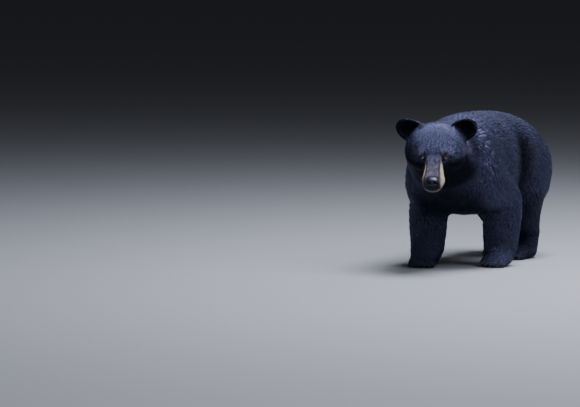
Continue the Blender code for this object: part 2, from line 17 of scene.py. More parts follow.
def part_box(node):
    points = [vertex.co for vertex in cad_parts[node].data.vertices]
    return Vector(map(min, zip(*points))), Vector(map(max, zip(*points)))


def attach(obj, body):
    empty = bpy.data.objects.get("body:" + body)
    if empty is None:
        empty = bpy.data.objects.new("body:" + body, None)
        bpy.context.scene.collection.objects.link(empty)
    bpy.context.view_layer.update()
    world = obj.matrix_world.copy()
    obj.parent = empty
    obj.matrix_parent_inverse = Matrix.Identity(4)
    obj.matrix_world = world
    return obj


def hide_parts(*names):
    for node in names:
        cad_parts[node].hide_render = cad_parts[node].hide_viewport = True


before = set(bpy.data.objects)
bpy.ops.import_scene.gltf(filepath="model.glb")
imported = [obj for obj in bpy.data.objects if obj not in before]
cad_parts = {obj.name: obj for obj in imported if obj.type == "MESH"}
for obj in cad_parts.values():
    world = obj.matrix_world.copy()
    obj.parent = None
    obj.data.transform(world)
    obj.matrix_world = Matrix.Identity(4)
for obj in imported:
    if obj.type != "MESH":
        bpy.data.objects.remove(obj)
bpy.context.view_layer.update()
rng = np.random.default_rng(11)

# ---- fixed sizes
HEAD_YAW = math.radians(20.5)
HEAD_PITCH = math.radians(38.0)
EYE_IN_HEAD = np.array((0.048, -0.083, -0.001))
EYE_RADIUS = 0.0125
EYE_LOOK = np.array((0.34, -0.90, 0.22))
NOSE_IN_HEAD = np.array((0.0, -0.2145, -0.0275))
NOSE_RADII = np.array((0.0275, 0.0195, 0.0205))
NOSE_ROOT = np.array((0.0, -0.1965, -0.0255))       # flesh behind the nose pad
NOSE_ROOT_RADII = (0.0286, 0.0200, 0.0218)
MOUTH_CORNER = np.array((0.036, -0.082, -0.058))
EYE_BALL, CORNER_BALL = EYE_RADIUS + 0.0022, 0.016  # flesh at the eyes and mouth's corners
MOUTH_IN_HEAD = np.array((0.0, -0.085, -0.078))
MOUTH_TILT = math.radians(-3.0)
HEAD_FROM_AIM = np.array((0.035, -0.533, 0.576))

SKIN_VOXEL = 0.005
TUFT_STEPS = 3
SMOOTH_PARTS = ("trunk", "neck", "tail", "upper_arm", "forearm", "thigh", "shank")
SHORT_COATS = ("forepaw", "hindpaw", "head", "muzzle", "jaw", "ear")
# marks of each tuft; the third darkens the black and lowers the gloss, for the duller hair of the
# muzzle and ears and for painted shade
MARKS = ("tan", "cream", "dull_and_shaded", "tone")
BOTH_SIDES = (1.0, -1.0)    # the bear's left, its right
HEAD_REACH = 0.32           # how far from its origin the head's markings may reach
CUT_SWELL = 0.0007          # how far the flesh swells, to close the thin cuts
FLANK_HOLLOW = (0.55, 0.014)    # place along the trunk, depth
TOE_GROOVE = 0.0065         # depth of the grooves between the toes
LID_THICKNESS = 0.0016
LID_RIM = 0.0009            # how far the lids' rims stand out
MOUTH_GROOVE = 0.0035       # depth of the mouth's groove
LOCK_TUFTS = 5              # tufts that gather into a lock
STRAY_SHARE = 0.03          # tufts that stand out from their lock
PATCH = 0.003               # side of a tuft's patch on the OFBake map
PIECE_TUFTS = 11500         # most tufts in one piece of coat

# part: coat depth, tuft length, tuft width, tufts per square metre
COATS = {
    "trunk": (0.012, 0.050, 0.0040, 33000),
    "neck": (0.012, 0.042, 0.0038, 38000),
    "tail": (0.009, 0.036, 0.0036, 45000),
    "upper_arm": (0.011, 0.042, 0.0038, 38000),
    "forearm": (0.009, 0.032, 0.0034, 44000),
    "forepaw": (0.0050, 0.015, 0.0025, 85000),
    "thigh": (0.012, 0.048, 0.0040, 34000),
    "shank": (0.009, 0.034, 0.0036, 42000),
    "hindpaw": (0.0050, 0.015, 0.0026, 75000),
    "head": (0.0055, 0.018, 0.0021, 130000),
    "muzzle": (0.0020, 0.0070, 0.0012, 420000),
    "jaw": (0.0026, 0.0090, 0.0014, 300000),
    "ear": (0.0022, 0.0120, 0.0019, 170000),
}
DEPTH, LENGTH, WIDTH, DENSITY = range(4)
PARTS = list(COATS)
# places on the front of the head, across and up in its own frame
INNER_SPOT_LEFT = (0.0325, 0.0040)
INNER_SPOT_RIGHT = (-0.0345, 0.0000)
# pale brow over each eye: pale hairs, and a painted highlight where the brow ridge catches the light
BROW_HAIR_AND_HIGHLIGHT = (0.053, 0.0135)

# the deepest black is for duller hair and painted shade; all three blacks lean blue, a painted
# reflection of cool sky light
BLACK_DULL_AND_SHADED = (0.001, 0.002, 0.003)
BLACK_DARK = (0.004, 0.005, 0.009)
BLACK_LIGHT = (0.013, 0.017, 0.036)
MAUVE_DARK = (0.016, 0.012, 0.015)
MAUVE_LIGHT = (0.100, 0.075, 0.094)
CREAM_DARK = (0.085, 0.056, 0.025)
CREAM_LIGHT = (0.50, 0.40, 0.22)


# ---- numpy helpers
def unit(vectors):
    """Rows scaled to length one."""
    length = np.linalg.norm(vectors, axis=-1, keepdims=True)
    return vectors / np.maximum(length, 1e-12)


def smoothstep(low, high, value):
    """0 below low, 1 above high, smooth between."""
    t = np.clip((value - low) / (high - low), 0.0, 1.0)
    return t * t * (3.0 - 2.0 * t)


def positions(mesh):
    """The mesh's vertices as an array."""
    out = np.empty(3 * len(mesh.vertices), np.float32)
    mesh.vertices.foreach_get("co", out)
    return out.reshape(-1, 3).astype(float)


def set_positions(mesh, points):
    """Move the mesh's vertices."""
    mesh.vertices.foreach_set("co", points.astype(np.float32).ravel())
    mesh.update()


def normals(mesh):
    """The mesh's vertex normals as an array."""
    out = np.empty(3 * len(mesh.vertices), np.float32)
    mesh.vertex_normals.foreach_get("vector", out)
    return out.reshape(-1, 3).astype(float)


def edge_array(mesh):
    """Pairs of vertices."""
    out = np.empty(2 * len(mesh.edges), np.int32)
    mesh.edges.foreach_get("vertices", out)
    return out.reshape(-1, 2)


def triangle_corners(mesh, field="vertices"):
    """The vertices, or the loops, of each triangle."""
    out = np.empty(3 * len(mesh.loop_triangles), np.int32)
    mesh.loop_triangles.foreach_get(field, out)
    return out.reshape(-1, 3)


def cross_products(co, corners):
    """A vector along each triangle's normal, twice its area long."""
    first = co[corners[:, 0]]
    return np.cross(co[corners[:, 1]] - first, co[corners[:, 2]] - first)


def along_surface(vectors, normal):
    """The part of each vector that lies in the surface."""
    return vectors - normal * np.sum(vectors * normal, axis=1, keepdims=True)


def waves(points, scale, seed):
    """A smooth field between about -1 and 1."""
    local = np.random.default_rng(seed)
    total = np.zeros(len(points))
    for _ in range(7):
        direction = unit(local.normal(size=3)) * scale * local.uniform(0.6, 1.6)
        total += np.sin(points @ direction + local.uniform(0.0, 6.28))
    return total / 2.6


def store(mesh, name, values):
    """Keep a value for each vertex, for the materials."""
    attribute = mesh.attributes.new(name, "FLOAT", "POINT")
    attribute.data.foreach_set("value", values.astype(np.float32))


def shade_smooth(mesh):
    """Round the shading over the mesh's edges."""
    mesh.polygons.foreach_set("use_smooth", np.ones(len(mesh.polygons), bool))


def mesh_from(bm, name):
    """A mesh made of the finished bmesh."""
    mesh = bpy.data.meshes.new(name)
    bm.to_mesh(mesh)
    bm.free()
    return mesh


class Diffuser:
    """Averages values over a mesh's edges."""

    def __init__(self, mesh):
        edges = edge_array(mesh)
        self.count = len(mesh.vertices)
        self.a = np.concatenate([edges[:, 0], edges[:, 1]])
        self.b = np.concatenate([edges[:, 1], edges[:, 0]])
        self.degree = np.maximum(np.bincount(self.a, minlength=self.count), 1)

    def mean(self, values):
        """The mean of each vertex's neighbours."""
        if values.ndim == 1:
            return np.bincount(self.a, values[self.b], self.count) / self.degree
        columns = [np.bincount(self.a, column[self.b], self.count) for column in values.T]
        return np.stack(columns, axis=1) / self.degree[:, None]

    def run(self, values, passes, factor=0.5):
        """Values after some passes of averaging."""
        if np.ndim(factor) == 1 and values.ndim == 2:
            factor = factor[:, None]
        for _ in range(passes):
            values = values + factor * (self.mean(values) - values)
        return values


def new_object(name, mesh):
    """An object for a mesh."""
    obj = bpy.data.objects.new(name, mesh)
    bpy.context.scene.collection.objects.link(obj)
    return obj


def applied(obj):
    """The object's mesh with its modifiers applied."""
    graph = bpy.context.evaluated_depsgraph_get()
    graph.update()
    return bpy.data.meshes.new_from_object(obj.evaluated_get(graph))


# ---- the head's frame
def centre_of(node):
    """Middle of a node's box."""
    low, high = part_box(node)
    return np.array((low + high) * 0.5)


HEAD_TURN = np.array((Matrix.Rotation(HEAD_YAW, 3, "Z") @ Matrix.Rotation(HEAD_PITCH, 3, "X")))
EYES_MIDDLE = 0.5 * (centre_of("eye_left") + centre_of("eye_right"))
HEAD_ORIGIN = EYES_MIDDLE - HEAD_TURN @ np.array((0.0, EYE_IN_HEAD[1], EYE_IN_HEAD[2]))


def to_head(points):
    """World points in the head's frame: x to the bear's left, -y along the muzzle."""
    return (points - HEAD_ORIGIN) @ HEAD_TURN


def from_head(points):
    """Points of the head's frame in the world."""
    return np.asarray(points) @ HEAD_TURN.T + HEAD_ORIGIN


def side_of_head(local):
    """1 on the head's left, -1 on its right."""
    return np.where(local[:, 0] > 0.0, 1.0, -1.0)


def mirrored(vector, side):
    """A place or direction of the head's left side, or the same on its right."""
    return vector * (side, 1.0, 1.0)


def eye_axes(side):
    """Where an eye looks, across it and up it, in the head's frame."""
    look = mirrored(EYE_LOOK, side)
    look = look / np.linalg.norm(look)
    across = np.cross(look, (0.0, 0.0, 1.0))
    across /= np.linalg.norm(across)
    return look, across, np.cross(across, look)


def trunk_places(points):
    """Places as shares of the trunk's box: across, back and up."""
    low, high = (np.array(corner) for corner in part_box("trunk"))
    return (points - low) / (high - low)


def part_of(node):
    """The coat's part that a flesh node belongs to."""
    return next(i for i, name in enumerate(PARTS) if node.startswith(name))


def in_parts(label, names):
    """Where the label is one of the named parts."""
    return np.isin(label, [PARTS.index(name) for name in names])


# ---- the skin's base
FLESH = sorted(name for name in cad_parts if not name.startswith(("eye", "nose", "claw")))


def flesh_arrays():
    """Vertices, triangles and part of every flesh node, swollen to close the thin cuts."""
    points, triangles, parts = [], [], []
    offset = 0
    for name in FLESH:
        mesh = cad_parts[name].data
        mesh.calc_loop_triangles()
        co = positions(mesh)
        # weld by place, so that split normals don't open the solid
        keys, inverse = np.unique(np.round(co * 1e6).astype(np.int64), axis=0, return_inverse=True)
        co = keys / 1e6
        corners = inverse.reshape(-1)[triangle_corners(mesh)]
        cross = cross_products(co, corners)
        normal = np.zeros_like(co)
        for k in range(3):
            np.add.at(normal, corners[:, k], cross)
        co = co + unit(normal) * CUT_SWELL
        points.append(co)
        triangles.append(corners + offset)
        parts.append(np.full(len(corners), part_of(name)))
        offset += len(co)
    return np.vstack(points), np.vstack(triangles), np.concatenate(parts)


def add_ball(bm, centre, radius, stretch=Matrix.Identity(4)):
    """Fill out the flesh with a ball at a place in the head's frame."""
    place = Matrix.Translation(from_head(centre))
    bmesh.ops.create_icosphere(bm, subdivisions=3, radius=radius, matrix=place @ stretch)


def skin_base():
    """One closed surface over all the flesh, finer on the face, and its parts."""
    points, triangles, parts = flesh_arrays()
    tree = BVHTree.FromPolygons([tuple(p) for p in points], [tuple(t) for t in triangles])
    bm = bmesh.new()
    verts = [bm.verts.new(p) for p in points]
    for t in triangles:
        if len(set(t)) == 3:
            try:
                bm.faces.new([verts[i] for i in t])
            except ValueError:
                pass
    for side in BOTH_SIDES:
        add_ball(bm, mirrored(EYE_IN_HEAD, side), EYE_BALL)
    egg = Matrix(HEAD_TURN.tolist()).to_4x4() @ Matrix.Diagonal((*NOSE_ROOT_RADII, 1.0))
    add_ball(bm, NOSE_ROOT, 1.0, egg)
    for side in BOTH_SIDES:
        add_ball(bm, mirrored(MOUTH_CORNER, side), CORNER_BALL)
    obj = new_object("skin", mesh_from(bm, "skin"))
    remesh = obj.modifiers.new("fuse", "REMESH")
    remesh.mode = "VOXEL"
    remesh.voxel_size = SKIN_VOXEL
    obj.data = applied(obj)
    obj.modifiers.clear()
    refine(obj.data)
    co = positions(obj.data)
    label = np.zeros(len(co), np.int32)
    for i, p in enumerate(co):
        label[i] = parts[tree.find_nearest(p)[2]]
    return obj, label


def refine(mesh):
    """Split the faces of the muzzle once, and those round the eyes and mouth twice."""
    bm = bmesh.new()
    bm.from_mesh(mesh)
    for reach, with_front in ((0.030, True), (0.020, False)):
        chosen = []
        for face in bm.faces:
            p = to_head(np.array(face.calc_center_median()))
            if np.linalg.norm(p) > HEAD_REACH:
                continue
            eye = min(np.linalg.norm(p - mirrored(EYE_IN_HEAD, s)) for s in BOTH_SIDES)
            front = with_front and p[1] < -0.085 and abs(p[0]) < 0.07
            mouth = abs(p[2] - mouth_height(p[1])) < 0.010 and p[1] < -0.07 and abs(p[0]) < 0.07
            if eye < reach or front or mouth:
                chosen.append(face)
        edges = list({edge for face in chosen for edge in face.edges})
        bmesh.ops.subdivide_edges(bm, edges=edges, cuts=1, use_grid_fill=True)
    bm.to_mesh(mesh)
    bm.free()
    mesh.update()


def mouth_height(y):
    """Height of the mouth's line in the head's frame."""
    return MOUTH_IN_HEAD[2] - (y - MOUTH_IN_HEAD[1]) * math.tan(-MOUTH_TILT)


# ---- the lie of the coat
def lie_of_coat(points, normal, label, spread):
    """Direction in which the hair runs at each vertex of the skin."""
    flow = np.zeros_like(points)
    height = points[:, 2]
    body = in_parts(label, ("trunk", "neck", "upper_arm", "thigh", "tail"))
    flow[body] = (0.0, 1.0, -0.42)
    flank = smoothstep(0.62, 0.40, height)[:, None]
    flow += np.where(body[:, None], flank * np.array((0.0, -0.15, -0.55)), 0.0)
    front = smoothstep(-0.12, -0.26, points[:, 1]) * smoothstep(0.62, 0.52, height)
    flow += np.where(body[:, None], front[:, None] * np.array((0.0, -0.75, -0.90)), 0.0)
    flow[in_parts(label, ("tail",))] = (0.0, 0.1, -1.0)
    flow[in_parts(label, ("upper_arm",))] += (0.0, -0.25, -0.50)
    flow[in_parts(label, ("thigh",))] += (0.0, -0.20, -0.60)
    flow[in_parts(label, ("forearm", "shank"))] = (0.0, 0.15, -1.0)
    flow[in_parts(label, ("forepaw", "hindpaw"))] = (0.0, -0.75, -0.55)
    # on the head it runs back from the nose, and away from the eyes
    local = to_head(points)
    back = np.zeros_like(points)
    back[:, 1] = 1.0
    back[:, 0] = 3.0 * local[:, 0] * smoothstep(-0.10, 0.05, local[:, 1])
    back[:, 2] = 0.15 - 1.10 * smoothstep(-0.010, -0.100, local[:, 2])
    for s in BOTH_SIDES:
        away = local - mirrored(EYE_IN_HEAD, s)
        near = smoothstep(0.045, 0.015, np.linalg.norm(away, axis=1))[:, None]
        back = back + 1.6 * near * unit(away)
    head = in_parts(label, ("head", "muzzle", "jaw"))
    flow[head] = (unit(back) @ HEAD_TURN.T)[head]
    for s in BOTH_SIDES:
        ear = in_parts(label, ("ear",)) & (side_of_head(local) == s)
        up = np.array((0.84 * s, 0.28, 0.46))
        flow[ear] = HEAD_TURN @ (up / np.linalg.norm(up))
    flow = unit(along_surface(flow, normal))
    for _ in range(60):
        flow = unit(along_surface(spread.run(flow, 1, 0.6), normal))
    return flow


# ---- markings, with a painted highlight and painted shade on the face
def spot(p, centre, radii):
    """1 in the middle of an oval spot on the front of the head, 0 outside it."""
    away = np.hypot((p[:, 0] - centre[0]) / radii[0], (p[:, 2] - centre[1]) / radii[1])
    return smoothstep(1.3, 0.5, away) * (p[:, 1] < -0.05)


def frayed(p):
    """Places across the head, shifted a little to and fro, so that edges aren't straight."""
    return p[:, 0] + 0.0030 * waves(p, 300.0, 5)


def on_head(p):
    """Whether a place is on the head."""
    return np.linalg.norm(p, axis=1) < HEAD_REACH


def tan_mask(points):
    """How brown the coat is: the muzzle, and spots at the inner corners and over the eyes; over the
    eyes it is pale brow hair and a painted highlight on the brow ridge.
    """
    p = to_head(points)
    x, y, z = p.T
    x = frayed(p)
    y = y + 0.0060 * waves(p, 220.0, 6)
    start = -0.098 - 0.50 * np.clip(-0.012 - z, 0.0, 0.08)
    tan = smoothstep(start + 0.014, start - 0.018, y)
    # the bridge between the eyes is narrower than the muzzle
    tan *= smoothstep(0.036, 0.026, np.abs(x) + 0.5 * np.clip(y + 0.118, 0.0, 1.0))
    tan = np.maximum(tan, smoothstep(start + 0.004, start - 0.014, y + 0.010))
    # black lips under the nose; below the mouth most of the brown is taken out, darker fur and painted
    # shade under the chin
    lips = smoothstep(1.15, 0.85, np.hypot(x / 0.031, (z + 0.047) / 0.0135)) * (y < -0.19)
    tan *= 1.0 - lips
    tan *= 1.0 - 0.80 * smoothstep(0.001, -0.003, z - mouth_height(y))
    tan *= 1.0 - 0.90 * dark_lines(p)
    bridge = smoothstep(0.030, 0.020, np.abs(x)) * smoothstep(-0.04, -0.02, z)
    tan *= 1.0 - 0.75 * bridge * smoothstep(-0.165, -0.105, y)
    tan = np.maximum(tan, 0.70 * spot(p, INNER_SPOT_LEFT, (0.0065, 0.0085)))
    tan = np.maximum(tan, 0.30 * spot(p, INNER_SPOT_RIGHT, (0.0060, 0.0070)))
    # painted highlight and pale hair on each brow
    for s in BOTH_SIDES:
        tan = np.maximum(tan, 0.34 * spot(p, (BROW_HAIR_AND_HIGHLIGHT[0] * s, BROW_HAIR_AND_HIGHLIGHT[1]), (0.0150, 0.0045)))
    return np.clip(tan * on_head(p), 0.0, 1.0)


def dark_lines(p):
    """1 on the dark lines beside the bridge and in the dark streaks on it."""
    x, y, z = p.T
    forward = smoothstep(-0.150, -0.205, y)
    middle = np.where(x > 0.0, 0.0250, 0.0285) + 0.0045 * forward
    line = np.exp(-((np.abs(x) - middle) / (0.0042 + 0.0012 * forward)) ** 2)
    line *= smoothstep(-0.105, -0.120, y) * smoothstep(-0.240, -0.226, y) * (z > -0.046)
    streaks = smoothstep(0.1, 0.9, waves(p * (1.0, 0.35, 1.0), 420.0, 9))
    streaks *= smoothstep(0.030, 0.024, np.abs(x)) * smoothstep(-0.095, -0.115, y) * (y > -0.215)
    return np.maximum(line, 0.65 * streaks)


def away_from_nose(points):
    """0 under the nose pad, 1 away from it."""
    away = np.linalg.norm((to_head(points) - NOSE_IN_HEAD) / NOSE_RADII, axis=1)
    return smoothstep(1.05, 1.12, away)


def cream_mask(points):
    """How pale the brown is: a stripe down each side of the muzzle, and the lips."""
    p = to_head(points)
    x, y, z = p.T
    x = frayed(p)
    inner = np.where(x > 0.0, 0.0265, 0.0300)
    side = smoothstep(inner, inner + 0.004, np.abs(x)) * smoothstep(-0.098, -0.135, y)
    lips = smoothstep(-0.046, -0.056, z) * smoothstep(-0.150, -0.185, y)
    cream = np.maximum(side, lips)
    bridge = smoothstep(0.15, 0.9, waves(p, 260.0, 12)) * smoothstep(0.028, 0.022, np.abs(x))
    cream = np.maximum(cream, 0.30 * bridge * smoothstep(-0.100, -0.125, y))
    # painted highlight and pale hair on each brow
    for s in BOTH_SIDES:
        cream = np.maximum(cream, 0.30 * spot(p, (BROW_HAIR_AND_HIGHLIGHT[0] * s, BROW_HAIR_AND_HIGHLIGHT[1]), (0.0140, 0.0045)))
    cream = np.maximum(cream, 0.40 * spot(p, INNER_SPOT_LEFT, (0.0060, 0.0080)))
    return np.clip(cream * on_head(p), 0.0, 1.0)


# ---- the skin
def shape_eyes(co):
    """Lay the lids over the eyes and open them."""
    p = to_head(co)
    for s in BOTH_SIDES:
        centre = mirrored(EYE_IN_HEAD, s)
        look, across, up = eye_axes(s)
        away = p - centre
        radius = np.linalg.norm(away, axis=1)
        u = away @ across
        v = away @ up
        front = away @ look > 0.0
        near = smoothstep(0.026, 0.0165, radius) * front
        # lids: the skin is drawn on to a ball a little larger than the eye
        opening = np.sqrt((u / 0.0110) ** 2 + ((v - 0.10 * u * s) / 0.0076) ** 2)
        rim = np.exp(-((opening - 1.12) / 0.22) ** 2)
        wanted = (EYE_RADIUS + LID_THICKNESS) + LID_RIM * rim
        inside = smoothstep(1.06, 0.92, opening) * front
        wanted = wanted * (1.0 - inside) + (EYE_RADIUS - 0.004) * inside
        blend = near * smoothstep(2.6, 1.25, opening)
        blend = np.maximum(blend, inside)
        scaled = away / np.maximum(radius, 1e-9)[:, None]
        p = np.where((blend > 0.0)[:, None],
                     centre + scaled * (radius + (wanted - radius) * blend)[:, None], p)
        # a shallow hollow in front of the inner corner
        inner = (centre + look * 0.004) + np.array((-0.016 * s, -0.004, -0.004))
        dent = np.exp(-(np.linalg.norm(p - inner, axis=1) / 0.008) ** 2)
        p = p - np.outer(dent * 0.0015, look)
    return from_head(p)


def mouth_groove(co, normal):
    """Sink the skin along the mouth's line."""
    p = to_head(co)
    gap = p[:, 2] - mouth_height(p[:, 1])
    reach = smoothstep(-0.075, -0.100, p[:, 1]) * (np.abs(p[:, 0]) < 0.08)
    groove = np.exp(-(gap / 0.0022) ** 2) * reach
    return co - normal * (MOUTH_GROOVE * groove)[:, None]


def larger_ears(points, share):
    """Grow the ears from their roots, which the rounding shrank, and widen them.

    They also move toward the middle of the head, and the left one grows taller.
    """
    p = to_head(points)
    for s in BOTH_SIDES:
        mine = share * (side_of_head(p) == s)
        middle = np.average(p, axis=0, weights=mine + 1e-9)
        root = middle * (0.72, 1.0, 0.60)
        p = p + (p - root) * (0.07 * mine)[:, None]
        p[:, 0] += ((p[:, 0] - middle[0]) * 0.20 - (0.001 if s > 0.0 else 0.008) * s) * mine
        if s > 0.0:
            p[:, 2] += (p[:, 2] - middle[2]) * 0.10 * mine
    return from_head(p)


def hollow_flanks(points, normal):
    """Sink the flanks between the ribs and the haunch."""
    t = trunk_places(points)
    sunk = np.exp(-((t[:, 1] - FLANK_HOLLOW[0]) / 0.065) ** 2)
    sunk *= smoothstep(0.12, 0.30, t[:, 2]) * smoothstep(0.90, 0.72, t[:, 2])
    sunk *= smoothstep(0.20, 0.32, np.abs(t[:, 0] - 0.5))
    return points - normal * (FLANK_HOLLOW[1] * sunk)[:, None]


def toe_grooves(points, normal):
    """Sink the skin between the toes."""
    sunk = np.zeros(len(points))
    for foot in ("fore_left", "fore_right", "hind_left", "hind_right"):
        boxes = [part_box(f"claw_{foot}_{toe}") for toe in range(1, 6)]
        roots = np.array([(0.5 * (low[0] + high[0]), high[1], 0.0) for low, high in boxes])
        for one, other in zip(roots[:-1], roots[1:]):
            beside = (other - one) / np.linalg.norm(other - one)
            back = np.array((-beside[1], beside[0], 0.0)) * np.sign(beside[0])
            away = points - 0.5 * (one + other)
            along = away @ back
            groove = np.exp(-((away @ beside) / 0.0058) ** 2) * smoothstep(-0.060, -0.045, along)
            groove *= smoothstep(0.045, 0.018, along) * smoothstep(0.080, 0.050, points[:, 2])
            sunk = np.maximum(sunk, groove)
    return points - normal * (TOE_GROOVE * sunk)[:, None]


def inside_ears(points, normal, share):
    """1 in the hollow of each ear, where the hair is thin and its darkening is also painted shade, and
    in spots of painted shadow on the head at the ears' bases.
    """
    local = normal @ HEAD_TURN
    side = side_of_head(to_head(points))
    facing = np.array((0.35, -0.75, 0.35))
    facing = facing / np.linalg.norm(facing)
    toward = side * local[:, 0] * facing[0] + local[:, 1] * facing[1] + local[:, 2] * facing[2]
    inside = share * smoothstep(0.15, 0.55, toward)
    p = to_head(points)
    # painted shadow at the base of each ear, stronger at the bear's right ear
    for s, amount in ((1.0, 0.3), (-1.0, 0.8)):
        away = np.linalg.norm(p - (0.062 * s, 0.030, 0.062), axis=1)
        inside = np.maximum(inside, amount * smoothstep(0.022, 0.010, away))
    return inside


def painted_shade_and_dark_lines(points, normal):
    """Painted shade: darker, less glossy coat on the cheeks, the downward faces of the breast, the
    flanks' hollow, the haunch and the temples; with the dark lines beside the bridge.
    """
    p = to_head(points)
    near = smoothstep(0.26, 0.20, np.linalg.norm(p, axis=1))
    cheek = near * smoothstep(-0.012, -0.035, p[:, 2]) * smoothstep(-0.150, -0.120, p[:, 1])
    cheek *= smoothstep(0.035, -0.025, p[:, 1])
    x, y, z = points.T
    # painted shade on the breast, strongest where the skin faces down
    breast = smoothstep(0.05, -0.25, y) * smoothstep(0.44, 0.34, z)
    breast = breast * smoothstep(0.20, 0.12, np.abs(x)) * smoothstep(0.25, -0.25, normal[:, 2])
    t = trunk_places(points)
    flank = np.exp(-((t[:, 1] - 0.52) / (0.045 + 0.06 * smoothstep(0.85, 0.55, t[:, 2]))) ** 2)
    flank *= smoothstep(0.93, 0.72, t[:, 2]) * smoothstep(0.20, 0.32, np.abs(t[:, 0] - 0.5))
    # the flanks' painted shade is weaker on the bear's right side
    flank *= np.where(x > 0.0, 1.0, 0.4)
    haunch = smoothstep(0.50, 0.60, t[:, 1]) * smoothstep(0.34, 0.12, t[:, 2])
    temple = smoothstep(0.21, 0.17, np.linalg.norm(p, axis=1))
    temple *= smoothstep(0.065, 0.105, np.abs(p[:, 0]))
    return np.maximum.reduce((0.96 * cheek, 0.85 * breast, 0.85 * dark_lines(p), flank,
                              0.65 * haunch, 0.65 * temple))


def filled_cheeks(points, normal, spread):
    """How far the skin rises to round off the hollows between head, jaw and neck."""
    broad = spread.run(points, 420, 0.5)
    rise = np.sum((broad - points) * normal, axis=1)
    p = to_head(points)
    x, y, z = p.T
    near = smoothstep(0.42, 0.30, np.linalg.norm(p, axis=1))
    cheek = near * smoothstep(0.010, -0.025, z) * smoothstep(-0.120, -0.085, y)
    cheek *= smoothstep(0.035, 0.055, np.abs(x) + smoothstep(-0.09, -0.06, y) * 0.05)
    return spread.run(np.clip(rise, 0.0, 0.035) * cheek, 8)


def coat_field(label, column, spread, passes):
    """One column of COATS for each vertex, blended where two parts meet."""
    values = np.array([float(COATS[name][column]) for name in PARTS])
    return spread.run(values[label], passes)


def make_skin():
    """The bear's skin, with the fields that the coat grows from."""
    obj, label = skin_base()
    mesh = obj.data
    spread = Diffuser(mesh)
    outer = positions(mesh)
    ear = in_parts(label, ("ear",))
    fine = np.where(in_parts(label, ("head",)), 0.34, np.where(ear, 0.10, 0.16))
    factor = spread.run(np.where(in_parts(label, SMOOTH_PARTS), 0.5, fine), 10)
    smooth = spread.run(outer, 45, factor)
    smooth = larger_ears(smooth, spread.run(ear.astype(float), 4))
    set_positions(mesh, smooth)
    normal = normals(mesh)
    smooth = smooth + normal * filled_cheeks(smooth, normal, spread)[:, None]
    set_positions(mesh, smooth)
    normal = normals(mesh)
    depth = coat_field(label, DEPTH, spread, 60)
    ears = spread.run(ear.astype(float), 3)
    depth = depth + ears * (COATS["ear"][DEPTH] - depth)
    done = np.maximum(np.sum((outer - smooth) * normal, axis=1), -0.004)
    inset = spread.run(depth - done, 10)
    close = spread.run(depth - done, 2)
    inset = inset + ears * (close - inset)
    co = smooth - normal * inset[:, None]
    co = toe_grooves(hollow_flanks(co, normal), normal)
    co = shape_eyes(co)
    set_positions(mesh, co)
    normal = normals(mesh)
    co = mouth_groove(co, normal)
    set_positions(mesh, co)
    normal = normals(mesh)
    tan = tan_mask(co)
    fields = {
        "flow": lie_of_coat(co, normal, label, spread),
        "normal": normal,
        "depth": depth,
        "length": coat_field(label, LENGTH, spread, 50),
        "width": coat_field(label, WIDTH, spread, 50),
        "density": coat_field(label, DENSITY, spread, 30),
        "tan": tan * away_from_nose(co),
        # the third mark: duller hair of the muzzle and the ears' hollows, and painted shade
        "dull_and_shaded": np.maximum.reduce((inside_ears(co, normal, ears), painted_shade_and_dark_lines(co, normal), 0.35 * tan)),
        "cream": cream_mask(co),
    }
    shade_smooth(mesh)
    for key in ("tan", "cream", "dull_and_shaded"):
        store(mesh, key, fields[key])
    unwrap(obj)
    return obj, label, fields


def unwrap(obj):
    """Give the skin its own map, OFBake."""
    bpy.ops.object.select_all(action="DESELECT")
    obj.select_set(True)
    bpy.context.view_layer.objects.active = obj
    for layer in list(obj.data.uv_layers):
        obj.data.uv_layers.remove(layer)
    obj.data.uv_layers.new(name="OFBake")
    bpy.ops.object.mode_set(mode="EDIT")
    bpy.ops.mesh.select_all(action="SELECT")
    bpy.ops.uv.smart_project(angle_limit=math.radians(66.0), island_margin=0.002)
    bpy.ops.object.mode_set(mode="OBJECT")


# ---- the coat
def bare(points):
    """Places with no hair: the nose, the eyes, inside the mouth and under the feet."""
    p = to_head(points)
    nose = np.linalg.norm((p - NOSE_IN_HEAD) / (NOSE_RADII + 0.0015), axis=1) < 1.0
    eyes = np.zeros(len(points), bool)
    for s in BOTH_SIDES:
        away = p - mirrored(EYE_IN_HEAD, s)
        _, across, up = eye_axes(s)
        beside = away @ across + 0.0015 * s
        opening = np.hypot(beside / 0.0150, (away @ up - 0.12 * s * beside) / 0.0088)
        eyes |= (opening < 1.0) & (np.linalg.norm(away, axis=1) < 0.024)
    gap = np.abs(p[:, 2] - mouth_height(p[:, 1]))
    mouth = (gap < 0.0022) & (p[:, 1] < -0.095) & (np.linalg.norm(p, axis=1) < 0.30)
    soles = points[:, 2] < 0.006
    return nose | eyes | mouth | soles


def sample_roots(mesh, fields):
    """Roots of the tufts, spread over the skin by area: their triangles, weights and maps."""
    corners = triangle_corners(mesh)
    co = positions(mesh)
    area = 0.5 * np.linalg.norm(cross_products(co, corners), axis=1)
    wanted = area * fields["density"][corners].mean(axis=1)
    total = int(wanted.sum())
    chosen = np.searchsorted(np.cumsum(wanted), (np.arange(total) + rng.random(total)))
    chosen = np.clip(chosen, 0, len(corners) - 1)
    a, b = rng.random(total), rng.random(total)
    flip = a + b > 1.0
    a[flip], b[flip] = 1.0 - a[flip], 1.0 - b[flip]
    weights = np.stack([1.0 - a - b, a, b], axis=1)
    keep = ~bare(blended(co, corners[chosen], weights))
    chosen, weights = chosen[keep], weights[keep]
    uv = np.empty(2 * len(mesh.loops), np.float32)
    mesh.uv_layers["OFBake"].data.foreach_get("uv", uv)
    loops = triangle_corners(mesh, "loops")[chosen]
    return corners[chosen], weights, blended(uv.reshape(-1, 2), loops, weights)


